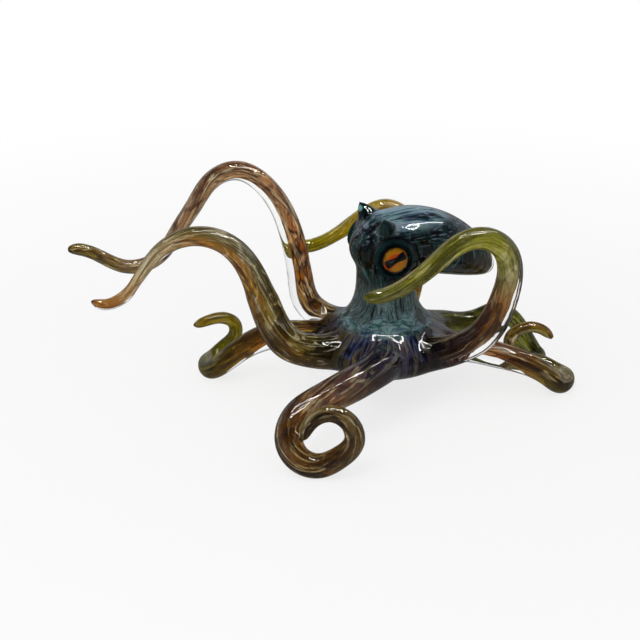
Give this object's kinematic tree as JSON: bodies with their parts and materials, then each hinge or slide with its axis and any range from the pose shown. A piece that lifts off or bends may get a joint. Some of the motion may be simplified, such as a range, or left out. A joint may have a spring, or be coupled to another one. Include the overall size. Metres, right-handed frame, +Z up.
{
  "type": "octopus figurine",
  "caption": "Free-standing octopus ornament in solid sculpted glass, a teal head with amber eyes over streaked arms that arch, curl and coil; rests on its low arms.",
  "frame": {"origin": "middle of the figure's footprint box, on the table plane", "axes": "+X along the arms' widest spread, from the long left arms to the short right arms; +Y away from the front coil; +Z up"},
  "size_m": [0.2556, 0.149, 0.1099],
  "materials": {
    "teal_glass": "glossy streaked teal glass",
    "dark_glass": "glossy black glass",
    "iris_glass": "amber glass under a clear lens",
    "streaked_glass": "glossy brown, amber and olive streaked glass",
    "clear_glass": "clear polished glass"
  },
  "bodies": {
    "root": {"mantle": "teal_glass", "neck": "teal_glass", "web": "teal_glass", "horn_left": "dark_glass", "eye_left_socket": "dark_glass", "eye_left_iris": "iris_glass", "eye_left_pupil": "dark_glass", "eye_left_lens": "clear_glass", "horn_right": "dark_glass", "eye_right_socket": "dark_glass", "eye_right_iris": "iris_glass", "eye_right_pupil": "dark_glass", "eye_right_lens": "clear_glass", "arm_left_rear_clear": "clear_glass", "arm_left_rear_colour": "streaked_glass", "arm_left_front_clear": "clear_glass", "arm_left_front_colour": "streaked_glass", "arm_left_low_clear": "clear_glass", "arm_left_low_colour": "streaked_glass", "arm_front_coil_clear": "clear_glass", "arm_front_coil_colour": "streaked_glass", "arm_right_loop_clear": "clear_glass", "arm_right_loop_colour": "streaked_glass", "arm_right_low_clear": "clear_glass", "arm_right_low_colour": "streaked_glass", "arm_rear_over_clear": "clear_glass", "arm_rear_over_colour": "streaked_glass", "arm_rear_right_clear": "clear_glass", "arm_rear_right_colour": "streaked_glass"}
  },
  "joints": []
}
